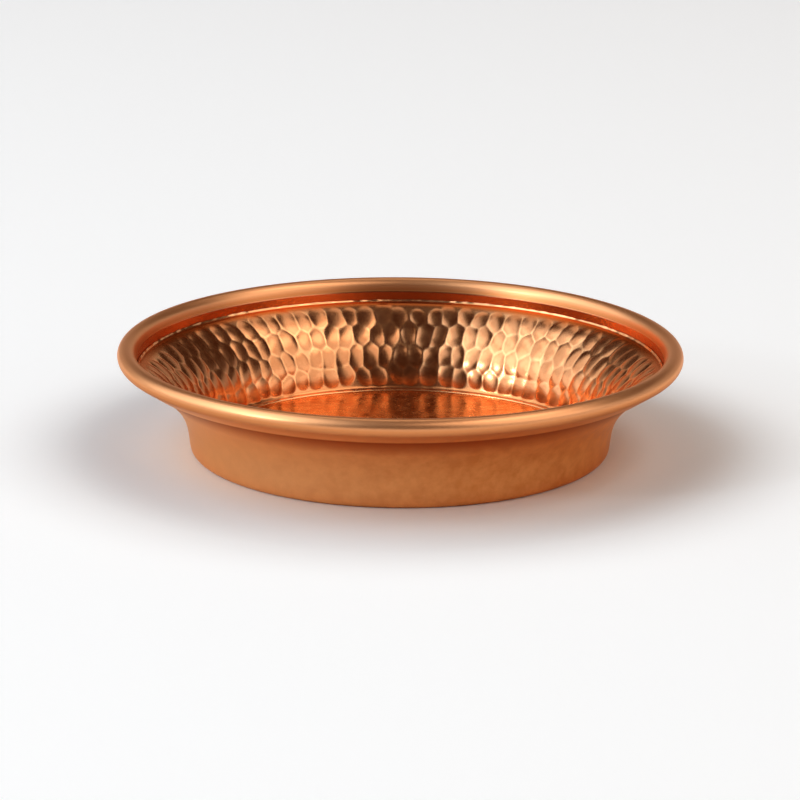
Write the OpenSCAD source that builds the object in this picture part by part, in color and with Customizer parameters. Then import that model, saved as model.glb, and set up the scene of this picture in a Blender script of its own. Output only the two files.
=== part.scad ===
// Offering bowl in copper sheet. A smooth outer shell is curled in over a wire at the rim, a flat
// floor disc lies in it, and a hammered liner stands on the disc with its top edge under the curl.
// Millimetres, +Z up. The origin is the middle of the flat base, on the surface it stands on.

/* [Bowl] */
// Diameter over the rim
rim_d = 90; // [86:1:100]
// Height from the base to the top of the rim
bowl_h = 17.25; // [16:0.05:22]
// Diameter of the wall at its bottom corner, outside
foot_d = 67.05; // [62:0.05:70]
// Radius of the bottom corner, outside
corner_r = 1.2; // [0.9:0.1:1.8]

/* [Sheet] */
// Thickness of the outer shell
shell_t = 0.35; // [0.25:0.05:0.5]
// Thickness of the hammered liner
liner_t = 0.3; // [0.2:0.05:0.45]
// Thickness of the floor disc
floor_t = 0.3; // [0.2:0.05:0.6]

/* [Rim] */
// Diameter of the wire inside the curl
wire_d = 2.1; // [1.8:0.05:2.6]
// Lean of the curl's inner face below the wire, from upright
curl_lean = 15; // [8:1:20]
// Depth below the rim's top at which that face turns upright
curl_crease_h = 2.15; // [1.9:0.05:2.5]
// Slope of the skirt under the curl, from level
skirt_angle = 32.7; // [28:0.1:36]
// Length of the skirt from the curl to the shoulder
skirt_l = 3.48; // [3.2:0.02:4]
// Step outwards at the shoulder
shoulder_step = 0.15; // [0.1:0.01:0.25]

/* [Liner] */
// Distance from the outside of the bottom corner in to the end of the liner's toe
toe_inset = 2.425; // [2.025:0.025:6]
// Flat part of the toe
toe_w = 0.25; // [0.15:0.05:0.4]
// Inside radius of the bend between the toe and the wall
toe_bend_r = 0.7; // [0.5:0.1:1]

/* [Hidden] */
$fn = 180;

// Play around the wire, between liner and shell, and at the two cut edges inside the rim
fit_gap = 0.03;
edge_gap = 0.05;

// Lean of the wall where it leaves the bottom corner, from upright
wall_lean = 10;
// Pull of the wall's foot as a share of its height, and of its shoulder as a share of its width
foot_pull_share = 0.253;
shoulder_pull_share = 1.01;
// Lean of the liner where it leaves the toe, from upright
liner_lean = 17;
// Place along the wall at which the liner leaves the toe, as a share of the whole
liner_foot_share = 0.06;

// Steps along the wall and along each bend
wall_steps = 32;
bend_steps = 10;
curl_steps = 32;

// Curl: the sheet lies round the wire, whose middle is also the middle of the curl
curl_in_r = wire_d / 2 + fit_gap;
curl_out_r = curl_in_r + shell_t;
curl_mid = [rim_d / 2 - curl_out_r, bowl_h - curl_out_r];
// Skirt: its direction uphill, and its normal into the bowl
skirt_dir = [cos(skirt_angle), sin(skirt_angle)];
skirt_in = [-sin(skirt_angle), cos(skirt_angle)];
shoulder = curl_mid - curl_out_r * skirt_in - skirt_l * skirt_dir;
// Inner face of the curl: it leaves the wire, leans in as far as the crease and drops upright
curl_leave = 180 - curl_lean;
crease_z = bowl_h - curl_crease_h;
leg_r = on_circle(curl_mid, curl_out_r, curl_leave)[0]
    - (on_circle(curl_mid, curl_out_r, curl_leave)[1] - crease_z) * tan(curl_lean);
crease_in_z = crease_z - shell_t * tan(curl_lean / 2);
leg_end_z = skirt_z(leg_r + shell_t, shell_t) + edge_gap;

// Wall: one curve from the bottom corner to the foot of the shoulder
corner_mid = [foot_d / 2 - corner_r, corner_r];
wall_foot = on_circle(corner_mid, corner_r, -wall_lean);
wall_top = shoulder + shoulder_step * skirt_in;
wall_span = wall_top - wall_foot;
foot_pull = wall_foot + foot_pull_share * wall_span[1] * [sin(wall_lean), cos(wall_lean)];
shoulder_pull = wall_top - shoulder_pull_share * wall_span[0] / cos(skirt_angle) * skirt_dir;

// Liner: a toe flat on the floor disc, a bend, and a wall that leans out to follow the shell
floor_top = shell_t + floor_t;
toe_end_r = foot_d / 2 - toe_inset;
toe_mid = [toe_end_r + toe_w, floor_top + liner_t + toe_bend_r];
liner_out = shell_t + fit_gap;
liner_in = liner_out + liner_t;
liner_shift = wall_in(liner_foot_share, liner_in) - on_circle(toe_mid, toe_bend_r, -liner_lean);
// Its top edge stops just short of the corner of the curl's cut edge
liner_over = ([leg_r, leg_end_z] - shoulder) * skirt_dir - edge_gap;

function on_circle(mid, r, angle) = mid + r * [cos(angle), sin(angle)];
function arc(mid, r, from, to, steps) =
    [for (i = [0:steps]) on_circle(mid, r, from + (to - from) * i / steps)];
function reversed(list) = [for (i = [len(list) - 1:-1:0]) list[i]];

// Height, at a radius, of the face that lies a depth inside the skirt's outer face
function skirt_z(r, depth) =
    shoulder[1] + (r - shoulder[0]) * tan(skirt_angle) + depth / cos(skirt_angle);
// Point a depth inside the skirt's outer face, at a distance past the shoulder
function skirt_at(along, depth) = shoulder + along * skirt_dir + depth * skirt_in;

// Point on the wall's outer face, from 0 at its foot to 1 at its top
function wall_at(u) =
    pow(1 - u, 3) * wall_foot
    + 3 * pow(1 - u, 2) * u * foot_pull
    + 3 * (1 - u) * pow(u, 2) * shoulder_pull
    + pow(u, 3) * wall_top;
function wall_dir(u) =
    pow(1 - u, 2) * (foot_pull - wall_foot)
    + 2 * (1 - u) * u * (shoulder_pull - foot_pull)
    + pow(u, 2) * (wall_top - shoulder_pull);
// Point a depth inside the wall's outer face
function wall_in(u, depth) = wall_at(u) + depth * [-wall_dir(u)[1], wall_dir(u)[0]] / norm(wall_dir(u));
function wall_face(depth) = [for (i = [1:wall_steps]) wall_in(i / wall_steps, depth)];

// Point on the liner at a depth inside the shell's outer face
function liner_at(u, depth) =
    wall_in(u, depth) - liner_shift * pow((1 - u) / (1 - liner_foot_share), 2);
function liner_face(depth) =
    [for (i = [1:wall_steps]) liner_at(liner_foot_share + (1 - liner_foot_share) * i / wall_steps, depth)];

module outer_shell_section() {
    outside = concat(
        arc(corner_mid, corner_r, -90, -wall_lean, bend_steps),
        wall_face(0),
        [shoulder],
        arc(curl_mid, curl_out_r, skirt_angle - 90, curl_leave, curl_steps),
        [[leg_r, crease_z], [leg_r, leg_end_z]]
    );
    inside = concat(
        arc(corner_mid, corner_r - shell_t, -90, -wall_lean, bend_steps),
        wall_face(shell_t),
        [skirt_at(shell_t, shell_t)],
        arc(curl_mid, curl_in_r, skirt_angle - 90, curl_leave, curl_steps),
        [[leg_r + shell_t, crease_in_z], [leg_r + shell_t, leg_end_z]]
    );
    polygon(concat([[0, 0]], outside, reversed(inside), [[0, shell_t]]));
}

module hammered_liner_section() {
    outside = concat(
        [[toe_end_r, floor_top]],
        arc(toe_mid, toe_bend_r + liner_t, -90, -liner_lean, bend_steps),
        liner_face(liner_out),
        [skirt_at(liner_over, liner_out)]
    );
    inside = concat(
        [[toe_end_r, floor_top + liner_t]],
        arc(toe_mid, toe_bend_r, -90, -liner_lean, bend_steps),
        liner_face(liner_in),
        [skirt_at(liner_over, liner_in)]
    );
    polygon(concat(outside, reversed(inside)));
}

// Outer shell: spun sheet with a flat base, a flared wall, a shoulder, and a curl over the wire
module outer_shell() {
    color("#b8693d")
        rotate_extrude()
            outer_shell_section();
}

// Rim wire: a closed ring that stiffens the curl
module rim_wire() {
    color("#a65a2e")
        rotate_extrude()
            translate(curl_mid)
                circle(d = wire_d);
}

// Floor disc: flat sheet laid in the shell and held down by the liner's toe
module floor_disc() {
    color("#c8713a")
        translate([0, 0, shell_t])
            cylinder(h = floor_t, r = corner_mid[0] - fit_gap);
}

// Hammered liner: a ring of sheet that stands on the floor disc and is locked in by the curl
module hammered_liner() {
    color("#cf8552")
        rotate_extrude()
            hammered_liner_section();
}

outer_shell();
rim_wire();
floor_disc();
hammered_liner();
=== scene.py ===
# Offering bowl of copper sheet: a spun outer shell, the wire in its rim, a flat floor disc and a
# hammered liner, on a pale studio floor. Metres, +Z up, the origin in the middle of the flat base.
import math
import random

import bmesh
import bpy
import numpy as np
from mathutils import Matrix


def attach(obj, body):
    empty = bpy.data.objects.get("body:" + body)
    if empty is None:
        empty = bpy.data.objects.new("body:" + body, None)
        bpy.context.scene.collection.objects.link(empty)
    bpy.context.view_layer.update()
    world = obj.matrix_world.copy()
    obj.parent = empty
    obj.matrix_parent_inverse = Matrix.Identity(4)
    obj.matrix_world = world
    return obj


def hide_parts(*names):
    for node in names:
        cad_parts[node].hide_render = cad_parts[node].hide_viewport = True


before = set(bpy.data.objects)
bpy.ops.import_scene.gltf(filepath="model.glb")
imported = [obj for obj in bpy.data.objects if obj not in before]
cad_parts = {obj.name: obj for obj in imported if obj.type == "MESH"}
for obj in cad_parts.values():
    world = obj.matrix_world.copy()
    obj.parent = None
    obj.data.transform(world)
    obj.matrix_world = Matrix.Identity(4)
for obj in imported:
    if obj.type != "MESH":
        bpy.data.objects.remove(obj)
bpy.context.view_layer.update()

# Outer shell
# One disc of copper sheet, spun over a former: a flat closed base, a wall that flares out to a
# crisp shoulder, a straight skirt, and a curl rolled inwards over the rim wire. Its cut edge
# drops upright behind the curl. The face is rubbed to a satin along the spinning marks.
mm = 0.001
rim_r = 45 * mm
bowl_h = 17.25 * mm
foot_r = 33.525 * mm
corner_r = 1.2 * mm
shell_t = 0.35 * mm
wire_r = 1.05 * mm
# Play round the wire and behind the liner, and at the two cut edges inside the rim
fit_gap = 0.03 * mm
edge_gap = 0.05 * mm
skirt_angle = math.radians(32.7)
skirt_l = 3.48 * mm
shoulder_step = 0.15 * mm
curl_lean = math.radians(15)
crease_z = 15.1 * mm
wall_lean = math.radians(10)
# Pull of the wall's foot as a share of its height, and of its top as a share of its width
foot_pull = 0.253
top_pull = 1.01

wall_steps = 40
bend_steps = 12
curl_steps = 48
round_steps = 256
base_rings = [0.0, 8 * mm, 16 * mm, 24 * mm]

curl_in_r = wire_r + fit_gap
curl_out_r = curl_in_r + shell_t
curl_mid = np.array([rim_r - curl_out_r, bowl_h - curl_out_r])
skirt_dir = np.array([math.cos(skirt_angle), math.sin(skirt_angle)])
skirt_in = np.array([-math.sin(skirt_angle), math.cos(skirt_angle)])
shoulder = curl_mid - curl_out_r * skirt_in - skirt_l * skirt_dir


def on_circle(mid, r, angle):
    """Point at an angle on a circle in the section."""
    return np.array(mid) + r * np.array([math.cos(angle), math.sin(angle)])


def arc(mid, r, start, end, steps):
    """Points along part of a circle, both of its ends among them."""
    return [on_circle(mid, r, start + (end - start) * i / steps) for i in range(steps + 1)]


# The wall is one curve from the bottom corner to the foot of the shoulder
corner_mid = np.array([foot_r - corner_r, corner_r])
wall_foot = on_circle(corner_mid, corner_r, -wall_lean)
wall_top = shoulder + shoulder_step * skirt_in
wall_span = wall_top - wall_foot
wall_pulls = [
    wall_foot,
    wall_foot + foot_pull * wall_span[1] * np.array([math.sin(wall_lean), math.cos(wall_lean)]),
    wall_top - top_pull * wall_span[0] / skirt_dir[0] * skirt_dir,
    wall_top,
]


def wall_at(share, depth):
    """Point a depth inside the wall's outer face, a share of the way from its foot to its top."""
    foot, low, high, top = wall_pulls
    left = 1 - share
    point = left**3 * foot + 3 * left**2 * share * low + 3 * left * share**2 * high + share**3 * top
    along = left**2 * (low - foot) + 2 * left * share * (high - low) + share**2 * (top - high)
    return point + depth * np.array([-along[1], along[0]]) / np.linalg.norm(along)


def spin_section(name, points, steps, closed=False):
    """Draws a section from (radius, height) points and spins it once round the bowl's axis."""
    weld = 0.002 * mm
    bpy.ops.object.select_all(action="DESELECT")
    bpy.ops.mesh.primitive_plane_add(size=mm, location=(0, 0, 0))
    piece = bpy.context.object
    piece.name = piece.data.name = name
    bpy.ops.object.mode_set(mode="EDIT")
    bpy.ops.mesh.merge(type="CENTER")
    bpy.ops.transform.translate(value=(points[0][0], 0, points[0][1]))
    for here, there in zip(points, points[1:]):
        move = (there[0] - here[0], 0, there[1] - here[1])
        bpy.ops.mesh.extrude_vertices_move(TRANSFORM_OT_translate={"value": move})
    if closed:
        section = bmesh.from_edit_mesh(piece.data)
        for v in section.verts:
            v.select = len(v.link_edges) == 1
        section.select_flush(True)
        bmesh.update_edit_mesh(piece.data)
        bpy.ops.mesh.edge_face_add()
    bpy.ops.object.mode_set(mode="OBJECT")
    turn = piece.modifiers.new("turn", "SCREW")
    turn.angle = math.tau
    turn.steps = turn.render_steps = steps
    turn.use_merge_vertices = True
    turn.merge_threshold = weld
    bpy.ops.object.modifier_apply(modifier=turn.name)
    bpy.ops.object.mode_set(mode="EDIT")
    bpy.ops.mesh.select_all(action="SELECT")
    bpy.ops.mesh.remove_doubles(threshold=weld)
    bpy.ops.mesh.normals_make_consistent(inside=False)
    bpy.ops.object.mode_set(mode="OBJECT")
    return piece


def place_on_bowl(material):
    """A point's place, and from it the side, the height and the reach from the bowl's axis."""
    nodes, link = material.node_tree.nodes, material.node_tree.links.new
    place = nodes.new("ShaderNodeTexCoord").outputs["Object"]
    apart = nodes.new("ShaderNodeSeparateXYZ")
    link(place, apart.inputs["Vector"])
    flat = nodes.new("ShaderNodeVectorMath")
    flat.operation = "MULTIPLY"
    flat.inputs[1].default_value = (1, 1, 0)
    link(place, flat.inputs[0])
    reach = nodes.new("ShaderNodeVectorMath")
    reach.operation = "LENGTH"
    link(flat.outputs["Vector"], reach.inputs[0])
    return place, apart.outputs["X"], apart.outputs["Z"], reach.outputs["Value"]


def noise(material, place, scale, detail, roughness=0.5):
    node = material.node_tree.nodes.new("ShaderNodeTexNoise")
    node.inputs["Scale"].default_value = scale
    node.inputs["Detail"].default_value = detail
    node.inputs["Roughness"].default_value = roughness
    material.node_tree.links.new(place, node.inputs["Vector"])
    return node.outputs["Fac"]


def ramp(material, measure, start, end, low=0.0, high=1.0):
    """A value that goes from low to high while the measure goes from start to end."""
    node = material.node_tree.nodes.new("ShaderNodeMapRange")
    node.inputs["From Min"].default_value = start
    node.inputs["From Max"].default_value = end
    node.inputs["To Min"].default_value = low
    node.inputs["To Max"].default_value = high
    material.node_tree.links.new(measure, node.inputs["Value"])
    return node.outputs["Result"]


def add_bump(material, height, strength, depth, normal):
    """A bump from a pattern of heights, fed to a socket that takes a normal."""
    bump = material.node_tree.nodes.new("ShaderNodeBump")
    bump.inputs["Strength"].default_value = strength
    bump.inputs["Distance"].default_value = depth
    material.node_tree.links.new(height, bump.inputs["Height"])
    material.node_tree.links.new(bump.outputs["Normal"], normal)


def copper(name, deep, pale, roughness, patch, grain, grain_depth):
    """Copper whose tone and gloss drift in soft patches, under a fine grain along the spinning marks."""
    material = bpy.data.materials.new(name)
    material.use_nodes = True
    nodes, link = material.node_tree.nodes, material.node_tree.links.new
    shader = nodes["Principled BSDF"]
    shader.inputs["Metallic"].default_value = 1.0
    shader.inputs["Specular Tint"].default_value = (1.0, 0.78, 0.62, 1)
    place, _, height, reach = place_on_bowl(material)
    patches = noise(material, place, patch, 4, 0.6)
    tones = nodes.new("ShaderNodeValToRGB")
    for stop, position, tone in zip(tones.color_ramp.elements, (0.35, 0.65), (deep, pale)):
        stop.position = position
        stop.color = (*tone, 1)
    link(patches, tones.inputs["Fac"])
    link(tones.outputs["Color"], shader.inputs["Base Color"])
    link(ramp(material, patches, 0.3, 0.7, *roughness), shader.inputs["Roughness"])
    # The grain changes fast with reach and height, and only drifts slowly on the way round
    rings = nodes.new("ShaderNodeCombineXYZ")
    link(reach, rings.inputs["X"])
    link(height, rings.inputs["Y"])
    drift = nodes.new("ShaderNodeVectorMath")
    drift.operation = "MULTIPLY_ADD"
    drift.inputs[1].default_value = (0.02, 0.02, 0)
    link(place, drift.inputs[0])
    link(rings.outputs["Vector"], drift.inputs[2])
    marks = noise(material, drift.outputs["Vector"], grain, 3)
    add_bump(material, marks, 0.35, grain_depth, shader.inputs["Normal"])
    return material


def change_tone(material, share, tone, roughness):
    """Turns the copper to another tone and roughness as the share rises from 0 to 1."""
    nodes, link = material.node_tree.nodes, material.node_tree.links.new
    shader = nodes["Principled BSDF"]
    colour = nodes.new("ShaderNodeMix")
    colour.data_type = "RGBA"
    link(share, colour.inputs["Factor"])
    link(shader.inputs["Base Color"].links[0].from_socket, colour.inputs["A"])
    colour.inputs["B"].default_value = (*tone, 1)
    link(colour.outputs["Result"], shader.inputs["Base Color"])
    sheen = nodes.new("ShaderNodeMix")
    link(share, sheen.inputs["Factor"])
    link(shader.inputs["Roughness"].links[0].from_socket, sheen.inputs["A"])
    sheen.inputs["B"].default_value = roughness
    link(sheen.outputs["Result"], shader.inputs["Roughness"])


def combine(material, operation, first, second):
    """Two values added or multiplied, kept between 0 and 1."""
    node = material.node_tree.nodes.new("ShaderNodeMath")
    node.operation = operation
    node.use_clamp = True
    material.node_tree.links.new(first, node.inputs[0])
    material.node_tree.links.new(second, node.inputs[1])
    return node.outputs["Value"]


def finish_piece(piece, material, crease, node):
    """Smooths a piece up to its creases, gives it its copper and puts it in its node's place."""
    bpy.ops.object.select_all(action="DESELECT")
    piece.select_set(True)
    bpy.context.view_layer.objects.active = piece
    bpy.ops.object.shade_smooth_by_angle(angle=math.radians(crease))
    piece.data.materials.append(material)
    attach(piece, "root")
    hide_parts(node)


# The curl leaves the wire with a lean, and turns upright to a leg that ends just above the skirt
curl_leave = math.pi - curl_lean
leave_at = on_circle(curl_mid, curl_out_r, curl_leave)
leg_r = leave_at[0] - (leave_at[1] - crease_z) * math.tan(curl_lean)
crease_in_z = crease_z - shell_t * math.tan(curl_lean / 2)
skirt_rise = (leg_r + shell_t - shoulder[0]) * math.tan(skirt_angle)
leg_end_z = shoulder[1] + skirt_rise + shell_t / math.cos(skirt_angle) + edge_gap
shell_outside = (
    [np.array([r, 0.0]) for r in base_rings]
    + arc(corner_mid, corner_r, -math.pi / 2, -wall_lean, bend_steps)
    + [wall_at(i / wall_steps, 0) for i in range(1, wall_steps + 1)]
    + [shoulder]
    + arc(curl_mid, curl_out_r, skirt_angle - math.pi / 2, curl_leave, curl_steps)
    + [np.array([leg_r, crease_z]), np.array([leg_r, leg_end_z])]
)
shell_inside = (
    [np.array([r, shell_t]) for r in base_rings]
    + arc(corner_mid, corner_r - shell_t, -math.pi / 2, -wall_lean, bend_steps)
    + [wall_at(i / wall_steps, shell_t) for i in range(1, wall_steps + 1)]
    + [shoulder + shell_t * skirt_dir + shell_t * skirt_in]
    + arc(curl_mid, curl_in_r, skirt_angle - math.pi / 2, curl_leave, curl_steps)
    + [np.array([leg_r + shell_t, crease_in_z]), np.array([leg_r + shell_t, leg_end_z])]
)
shell = spin_section("spun_shell", shell_outside + shell_inside[::-1], round_steps)
shell_copper = copper(
    "satin_spun_copper",
    deep=(0.75, 0.285, 0.08),
    pale=(0.88, 0.375, 0.12),
    roughness=(0.3, 0.4),
    patch=480,
    grain=3500,
    grain_depth=0.014 * mm,
)


def share_within(material, ramps):
    """A share that is 1 where every ramp is past its end, and 0 where one is short of its start."""
    share, *others = [ramp(material, measure, start, end) for measure, start, end in ramps]
    for other in others:
        share = combine(material, "MULTIPLY", share, other)
    return share


# The side at negative X is painted paler, a painted light. The wall is painted darker up to the
# shoulder, a painted shade under the overhang, and the skirt is painted deeper up to the curl, a painted
# shade. The curl's top is painted palest, a painted highlight. The upright leg behind the curl is deep
# in tone and shiny.
_, side, height, reach = place_on_bowl(shell_copper)
leg_ramps = ((height, 13.1 * mm, 13.2 * mm), (reach, leg_r + 0.06 * mm, leg_r + 0.02 * mm))
for tone, roughness, ramps in (
    # Painted light: the side at negative X is paler
    ((0.88, 0.46, 0.2), 0.36, ((side, 12 * mm, -42 * mm),)),
    # Painted shade: the skirt and curl deepen in tone from 13.4 mm up
    ((0.7, 0.26, 0.09), 0.35, ((height, 13.4 * mm, 14.6 * mm),)),
    # Painted highlight: the curl's top is paler
    ((0.95, 0.43, 0.19), 0.35, ((height, 15.6 * mm, 16.3 * mm),)),
    # Painted shade: the wall darkens up to the shoulder, under the overhang
    ((0.36, 0.06, 0.01), 0.4, ((height, 9.4 * mm, 12.7 * mm), (height, 13.1 * mm, 12.8 * mm))),
    ((0.64, 0.25, 0.11), 0.2, leg_ramps),
):
    change_tone(shell_copper, share_within(shell_copper, ramps), tone, roughness)
finish_piece(shell, shell_copper, 12, "outer_shell")

# Rim wire
# Drawn copper wire bent to a ring, its ends butted. The shell's edge is curled over it, which
# holds it and stiffens the rim.
wire_sides = 20
wire_points = arc(curl_mid, wire_r, 0, math.tau, wire_sides)[:-1]
wire = spin_section("rim_wire_ring", wire_points, round_steps, closed=True)
wire_copper = copper(
    "drawn_copper_wire",
    deep=(0.66, 0.2, 0.06),
    pale=(0.76, 0.26, 0.09),
    roughness=(0.3, 0.4),
    patch=200,
    grain=6000,
    grain_depth=0.01 * mm,
)
finish_piece(wire, wire_copper, 40, "rim_wire")

# Floor disc
# A flat round of polished copper sheet laid in the shell, held down by the liner's toe. The
# polishing left it very slightly uneven, which breaks up what it mirrors.
floor_t = 0.3 * mm
floor_r = corner_mid[0] - fit_gap
floor_top = shell_t + floor_t
floor_rings = 64
floor_steps = 192
floor_reach = [floor_r * i / floor_rings for i in range(floor_rings + 1)]
floor_section = [np.array([r, floor_top]) for r in floor_reach] + [
    np.array([r, shell_t]) for r in (floor_r, floor_r / 2, 0)
]
floor_sheet = spin_section("polished_floor_sheet", floor_section, floor_steps)

# Long and short ripples in many directions raise and lower the top face, except near its rim
ripple_count = 14
ripple_lift = 0.006
flat_rim = 1.5 * mm
chance = random.Random(9)
ripples = [
    (chance.uniform(0, math.tau), chance.uniform(0, math.tau), chance.uniform(900, 2600))
    for _ in range(ripple_count)
]
for v in floor_sheet.data.vertices:
    if v.co.z > floor_top - 0.01 * mm and math.hypot(v.co.x, v.co.y) < floor_r - flat_rim:
        lift = sum(
            math.sin(pitch * (v.co.x * math.cos(turn) + v.co.y * math.sin(turn)) + start) / pitch
            for turn, start, pitch in ripples
        )
        v.co.z += ripple_lift * lift
floor_copper = copper(
    "polished_floor_copper",
    deep=(0.65, 0.215, 0.065),
    pale=(0.9, 0.43, 0.175),
    roughness=(0.2, 0.3),
    patch=800,
    grain=1600,
    grain_depth=0.01 * mm,
)
# Small soft dents with no direction lie under the grain
floor_nodes = floor_copper.node_tree.nodes
dents = noise(floor_copper, floor_nodes["Texture Coordinate"].outputs["Object"], 900, 2)
add_bump(floor_copper, dents, 1.0, 0.05 * mm, floor_nodes["Bump"].inputs["Normal"])
finish_piece(floor_sheet, floor_copper, 30, "floor_disc")

# Hammered liner
# A ring of thin copper sheet. It was struck from behind with a small oval hammer, in courses
# round the wall, then its foot was turned in to a toe that stands on the floor, and its top
# edge was tucked under the curl's cut edge. The edges and the bend were left smooth.
liner_t = 0.3 * mm
toe_w = 0.25 * mm
toe_bend_r = 0.7 * mm
toe_round = 0.2 * mm
toe_end_r = foot_r - 2.425 * mm
liner_lean = math.radians(17)
# Place along the wall at which the liner leaves the toe, as a share of the whole
liner_foot = 0.06
# The turned-up strip along the top edge, and how far the toe's end leans back at the floor
edge_w = 0.3 * mm
toe_undercut = 0.02 * mm
liner_out = shell_t + fit_gap
liner_in = liner_out + liner_t
toe_mid = np.array([toe_end_r + toe_w, floor_top + liner_t + toe_bend_r])
liner_shift = wall_at(liner_foot, liner_in) - on_circle(toe_mid, toe_bend_r, -liner_lean)
liner_over = float(np.dot(np.array([leg_r, leg_end_z]) - shoulder, skirt_dir)) - edge_gap

toe_rows = 4
wall_rows = 68
edge_rows = 5
liner_steps = 1040
liner_face_steps = 60
# The smooth back keeps one step in this many
back_every = 7


def liner_face(depth):
    """The liner's wall at a depth inside the shell's outer face, from the toe's bend to the edge."""
    rows = []
    for i in range(1, liner_face_steps + 1):
        share = liner_foot + (1 - liner_foot) * i / liner_face_steps
        rows.append(wall_at(share, depth) - liner_shift * ((1 - share) / (1 - liner_foot)) ** 2)
    return rows + [shoulder + liner_over * skirt_dir + depth * skirt_in]


def even_points(points, count):
    """As many points as asked, evenly spaced along a line."""
    line = np.array(points)
    reach = np.concatenate([[0], np.cumsum(np.linalg.norm(np.diff(line, axis=0), axis=1))])
    at = np.linspace(0, reach[-1], count)
    return [np.array([np.interp(a, reach, line[:, 0]), np.interp(a, reach, line[:, 1])]) for a in at]


# The face is drawn close first, then given even rows for the hammer marks
close_points = 400
toe_corner_mid = (toe_end_r + toe_round, floor_top + liner_t - toe_round)
toe_corner = arc(toe_corner_mid, toe_round, math.pi, math.pi / 2, toe_rows - 1)
toe_bend = arc(toe_mid, toe_bend_r, -math.pi / 2, -liner_lean, bend_steps)
face = even_points([toe_corner[-1]] + toe_bend + liner_face(liner_in), close_points)
turned_up = face[-1] - edge_w * skirt_dir
face = (
    toe_corner
    + even_points([p for p in face if p[1] < turned_up[1]] + [turned_up], wall_rows)[1:]
    + even_points([turned_up, face[-1]], edge_rows)[1:]
)
behind = liner_face(liner_out)
back = (
    [np.array([toe_end_r + toe_undercut, floor_top])]
    + arc(toe_mid, toe_bend_r + liner_t, -math.pi / 2, -liner_lean, 7)
    + behind[back_every:-1:back_every]
    + behind[-1:]
)
liner = spin_section("hammered_liner_ring", face + back[::-1], liner_steps, closed=True)

# Each blow from behind raises a low oval, with a soft crease where two meet. The courses start at
# the foot, and each has its reach up the face, number of blows, shift and half width as shares of
# the space for one blow, and half height.
proud = 0.17 * mm
oval_fullness = 1.25
crease_softness = 0.006 * mm
far_below = -0.3 * mm
chance = random.Random(21)
blows = []
for up, count, shift, wide, tall in (
    (2.95 * mm, 75, 0.0, 0.53, 1.95 * mm),
    (6.2 * mm, 86, 0.5, 0.59, 2.5 * mm),
    (9.95 * mm, 86, 0.0, 0.59, 2.55 * mm),
    (13.7 * mm, 86, 0.5, 0.59, 2.4 * mm),
):
    for i in range(count):
        turn = math.tau * (i + shift + chance.uniform(-0.16, 0.16)) / count
        at = up + chance.uniform(-0.45, 0.45) * mm
        size = chance.uniform(0.88, 1.1)
        slant = chance.uniform(-0.2, 0.2)
        long = chance.uniform(0.9, 1.1)
        blows.append((turn, at, size, slant, wide * math.tau / count * size, tall * size * long))
blow_turn, blow_up, blow_size, blow_slant, blow_wide, blow_tall = np.array(blows).T

# The marks fade out and stop short of the toe's end and of the edge
toe_margin = 0.5 * mm
edge_margin = 0.9 * mm
margin_fade = 0.5 * mm
# The edge lies in a shallow groove and is turned up a little, not quite evenly
groove_w = 1.5 * mm
groove_depth = 0.1 * mm
edge_rise = 0.5
edge_unevenness = 0.7
# Painted shade: a deep red strip below the turned-up edge, under the curl, and a weaker one at the foot
# that spares the toe's end
edge_strip_w = 2.2 * mm
foot_strip_w = 2.1 * mm
strip_fade = 0.9 * mm
foot_shade = 0.6
toe_edge_w = 0.4 * mm

face_line = np.array(face)
face_reach = np.concatenate([[0], np.cumsum(np.linalg.norm(np.diff(face_line, axis=0), axis=1))])
along = np.gradient(face_line, axis=0)
face_normal = np.stack([-along[:, 1], along[:, 0]], 1) / np.linalg.norm(along, axis=1)[:, None]
place = np.empty(len(liner.data.vertices) * 3)
liner.data.vertices.foreach_get("co", place)
place = place.reshape(-1, 3)
radius = np.hypot(place[:, 0], place[:, 1])
turn = np.arctan2(place[:, 1], place[:, 0])
same_row = 0.004 * mm
painted_land_highlight = np.zeros(len(place))
painted_shade_strips = np.zeros(len(place))
for row, (r, z) in enumerate(face):
    here = np.flatnonzero((abs(radius - r) < same_row) & (abs(place[:, 2] - z) < same_row))
    from_toe = face_reach[row]
    to_edge = face_reach[-1] - from_toe
    wide = ((turn[here, None] - blow_turn[None] + math.pi) % math.tau - math.pi) * r
    high = from_toe - blow_up[None]
    across = (wide + blow_slant * high) / (blow_wide * r)
    upward = high / blow_tall
    oval = proud * blow_size * (1 - (across**2 + upward**2) ** oval_fullness)
    raised = np.exp(np.maximum(oval, far_below) / crease_softness).sum(axis=1)
    lift = crease_softness * np.log(1 + raised)
    lift *= np.clip(min(from_toe - toe_margin, to_edge - edge_margin) / margin_fade, 0, 1)
    # Painted highlight: pale where the sheet is hardly raised, and along the creases, where two ovals
    # are as high
    second, first = np.sort(oval, axis=1)[:, -2:].T
    low_land = np.clip(1 - lift / (0.25 * proud), 0, 1)
    crease = np.clip(1 - (first - second) / (0.5 * proud), 0, 1)
    painted_land_highlight[here] = np.maximum(low_land, crease)
    wave = sum(np.sin(k * turn[here] + k * k) for k in (7, 19, 31, 53, 97, 131)) / 4
    lift += edge_rise * max(edge_w - to_edge, 0) * (1 + edge_unevenness * wave)
    lift -= groove_depth * np.clip((groove_w - to_edge) / (groove_w - edge_w), 0, 1)
    edge_strip = np.clip((edge_strip_w - to_edge) / strip_fade, 0, 1) * (to_edge > 0.99 * edge_w)
    foot_strip = np.clip((foot_strip_w - from_toe) / strip_fade, 0, 1) * (from_toe > toe_edge_w)
    # Painted shade under the curl and at the foot
    painted_shade_strips[here] = max(edge_strip, foot_shade * foot_strip)
    place[here, 0] += lift * face_normal[row, 0] * np.cos(turn[here])
    place[here, 1] += lift * face_normal[row, 0] * np.sin(turn[here])
    place[here, 2] += lift * face_normal[row, 1]
liner.data.vertices.foreach_set("co", place.ravel())
liner.data.update()
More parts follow.
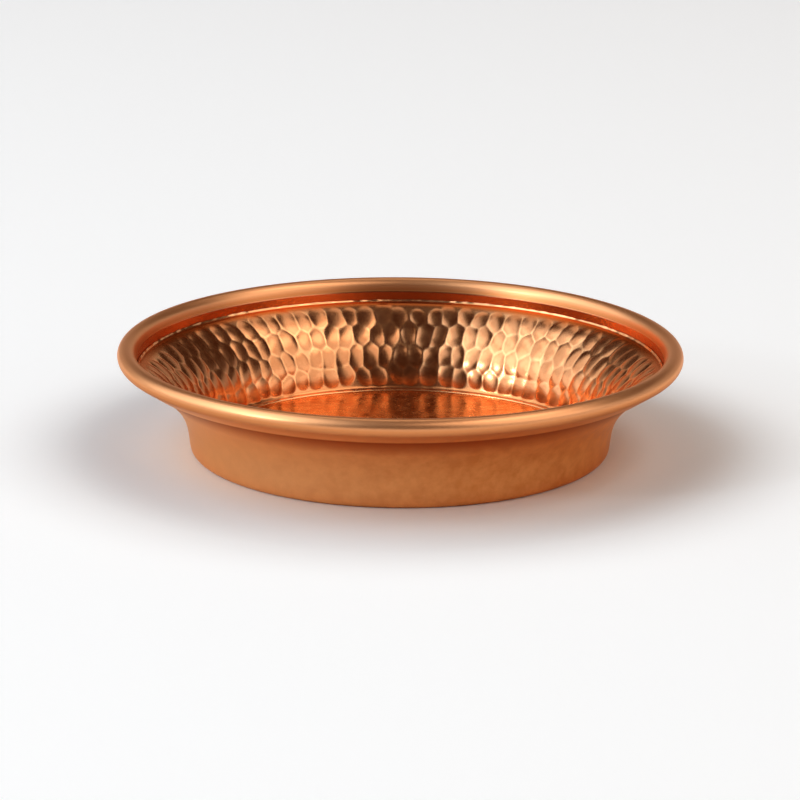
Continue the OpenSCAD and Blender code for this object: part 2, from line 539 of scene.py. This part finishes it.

# The sheet between the blows and along the creases is painted pale, a painted highlight. The strip under
# the curl is painted a deep red, a painted shade, and the foot gets a weaker painted shade.
liner_copper = copper(
    "hammered_copper",
    deep=(0.66, 0.26, 0.105),
    pale=(0.76, 0.33, 0.145),
    roughness=(0.18, 0.26),
    patch=500,
    grain=5000,
    grain_depth=0.003 * mm,
)
for name, share, tone, roughness in (
    # Painted highlight on the lands and along the creases
    ("painted_land_highlight", painted_land_highlight, (0.95, 0.46, 0.21), 0.22),
    # Painted shade under the curl and at the foot
    ("painted_shade_strips", painted_shade_strips, (0.72, 0.19, 0.045), 0.26),
):
    liner.data.attributes.new(name, "FLOAT", "POINT").data.foreach_set("value", share)
    strip = liner_copper.node_tree.nodes.new("ShaderNodeAttribute")
    strip.attribute_name = name
    change_tone(liner_copper, strip.outputs["Fac"], tone, roughness)
finish_piece(liner, liner_copper, 45, "hammered_liner")

# Studio
# A white floor that curves up into a round wall, soft boxes at both sides and above, one small
# lamp for the glints, and a little light from all round. The camera stands as in the photograph.
sweep_r = 3.0
sweep_h = 1.2
cove_r = 0.5
cove_steps = 12
sweep_steps = 96
behind_camera = -1.9
sweep_points = (
    [np.array([r, 0.0]) for r in (0, 0.2, 0.6, 1.4)]
    + arc((sweep_r - cove_r, cove_r), cove_r, -math.pi / 2, 0, cove_steps)
    + [np.array([sweep_r, sweep_h])]
)
sweep = spin_section("studio_sweep", sweep_points, sweep_steps)
bpy.ops.object.mode_set(mode="EDIT")
bpy.ops.mesh.select_all(action="SELECT")
bpy.ops.mesh.flip_normals()
# Behind the camera the wall stays low, so that the copper mirrors a dim room there
bpy.ops.mesh.select_all(action="DESELECT")
wall = bmesh.from_edit_mesh(sweep.data)
for f in wall.faces:
    centre = f.calc_center_median()
    f.select = centre.z > cove_r and centre.y < behind_camera
bmesh.update_edit_mesh(sweep.data)
bpy.ops.mesh.delete(type="FACE")
bpy.ops.object.mode_set(mode="OBJECT")
bpy.ops.object.shade_smooth()

paper = bpy.data.materials.new("white_paper")
paper.use_nodes = True
nodes, link = paper.node_tree.nodes, paper.node_tree.links.new
shader = nodes["Principled BSDF"]
shader.inputs["Base Color"].default_value = (0.9, 0.9, 0.9, 1)
shader.inputs["Roughness"].default_value = 0.9
# The paper glows white a little way out from the bowl. Nearer the bowl the glow fades out, a painted
# shade that leaves a darker ring round it, and the paper keeps the bowl's real shadow
away = nodes.new("ShaderNodeVectorMath")
away.operation = "LENGTH"
link(nodes.new("ShaderNodeTexCoord").outputs["Object"], away.inputs[0])
# Painted shade: no glow near the bowl, so the paper round it is darker
clear = ramp(paper, away.outputs["Value"], 0.045, 0.07, high=0.26)
clear.node.interpolation_type = "SMOOTHSTEP"
ray = nodes.new("ShaderNodeLightPath")
seen = combine(paper, "ADD", ray.outputs["Is Camera Ray"], ray.outputs["Is Glossy Ray"])
seen = combine(paper, "ADD", seen, ray.outputs["Is Transmission Ray"])
shader.inputs["Emission Color"].default_value = (1, 1, 1, 1)
link(combine(paper, "MULTIPLY", clear, seen), shader.inputs["Emission Strength"])
sweep.data.materials.append(paper)


def soft_box(name, azimuth, elevation, distance, wide, high, glow, colour):
    """An area lamp that faces the bowl, its azimuth counted from the camera's side to the right."""
    swing = math.radians(azimuth)
    climb = math.radians(elevation)
    place = (
        distance * math.sin(swing) * math.cos(climb),
        -distance * math.cos(swing) * math.cos(climb),
        distance * math.sin(climb),
    )
    bpy.ops.object.light_add(type="AREA", location=place, rotation=(math.pi / 2 - climb, 0, swing))
    lamp = bpy.context.object
    lamp.name = name
    lamp.data.shape = "RECTANGLE"
    lamp.data.size = wide
    lamp.data.size_y = high
    lamp.data.energy = glow * math.pi * wide * high
    lamp.data.color = colour
    lamp.visible_camera = False


# Each box has its azimuth and elevation in degrees, its distance, width and height in metres,
# its brightness and its colour
cool = (0.92, 1.03, 1.12)
warm = (1.0, 0.95, 0.88)
soft_box("soft_box_left", -80, 34, 1.3, 2.1, 1.4, 1.2, cool)
soft_box("soft_box_right", 58, 40, 1.3, 1.25, 1.4, 1.15, warm)
soft_box("bright_window_left", -74, 38, 1.2, 0.6, 0.5, 1.2, cool)
soft_box("glint_left", -57, 23, 1.1, 0.11, 0.11, 34.0, cool)
soft_box("top_box_left", -88, 63, 1.4, 1.0, 0.5, 1.2, cool)
soft_box("top_box_right", 88, 63, 1.4, 1.0, 0.5, 1.3, warm)
soft_box("top_box_behind", 180, 60, 1.4, 1.1, 0.5, 0.9, warm)

world = bpy.data.worlds.new("studio_air")
world.use_nodes = True
world.node_tree.nodes["Background"].inputs["Color"].default_value = (1, 0.5, 0.3, 1)
world.node_tree.nodes["Background"].inputs["Strength"].default_value = 0.06
bpy.context.scene.world = world
bpy.context.scene.view_settings.view_transform = "Standard"

camera_tilt = 0.2748
camera_roll = 0.0067
camera_distance = 0.6257
# The point looked at lies this far above the origin in the picture, and this far to its left
camera_up = 0.007604
camera_left = 0.000012
picture_w = 800
focal_length = 3903.1
camera_place = (
    -camera_left,
    camera_up * math.sin(camera_tilt) - camera_distance * math.cos(camera_tilt),
    camera_up * math.cos(camera_tilt) + camera_distance * math.sin(camera_tilt),
)
bpy.ops.object.camera_add(location=camera_place)
camera = bpy.context.object
camera.rotation_mode = "ZYX"
camera.rotation_euler = (math.pi / 2 - camera_tilt, 0, camera_roll)
camera.data.sensor_width = 36
camera.data.lens = focal_length / picture_w * camera.data.sensor_width
camera.data.clip_start = 0.05
camera.data.clip_end = 20
bpy.context.scene.camera = camera
